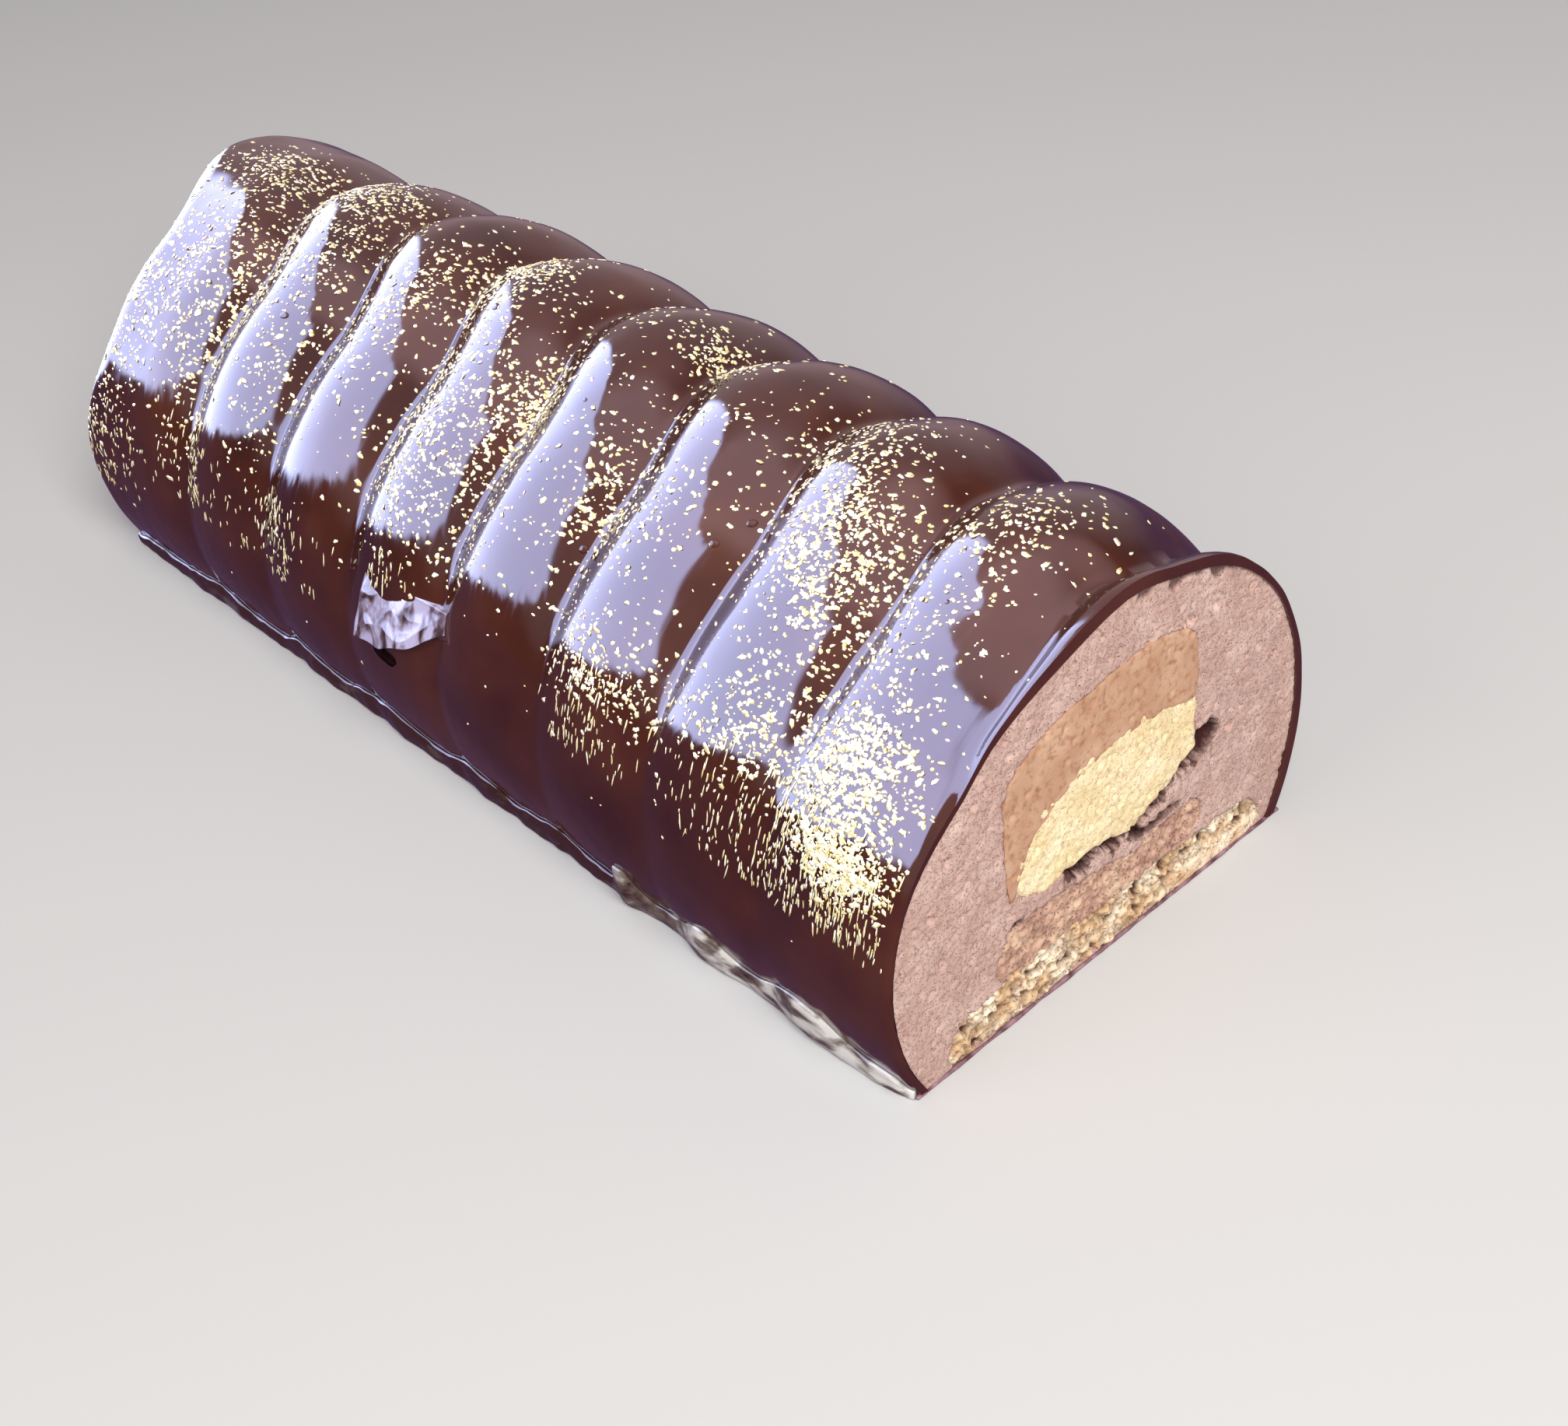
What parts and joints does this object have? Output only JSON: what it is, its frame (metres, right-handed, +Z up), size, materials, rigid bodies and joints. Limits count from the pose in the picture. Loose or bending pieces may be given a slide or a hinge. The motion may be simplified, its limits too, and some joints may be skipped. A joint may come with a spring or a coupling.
{
  "type": "yule log cake",
  "caption": "Ridged mousse log cake in dark chocolate glaze with gold flecks, cut square at one end to show caramel, cream, biscuit and a praline base.",
  "frame": {"origin": "middle of the log's underside", "axes": "+X along the log towards the cut face, +Z up, -Y towards the flank with the straight grooves"},
  "size_m": [0.24, 0.094, 0.07],
  "materials": {
    "dark_glaze": "gloss chocolate glaze with gold flecks",
    "mousse": "fine-pored chocolate mousse",
    "caramel": "smooth caramel with small bubbles",
    "cream": "porous vanilla cream",
    "biscuit": "crumbly biscuit",
    "praline": "praline with golden flakes"
  },
  "bodies": {
    "root": {"glaze_coat": "dark_glaze", "mousse": "mousse", "insert_caramel": "caramel", "insert_cream": "cream", "biscuit_band": "biscuit", "praline_base": "praline"}
  },
  "joints": []
}
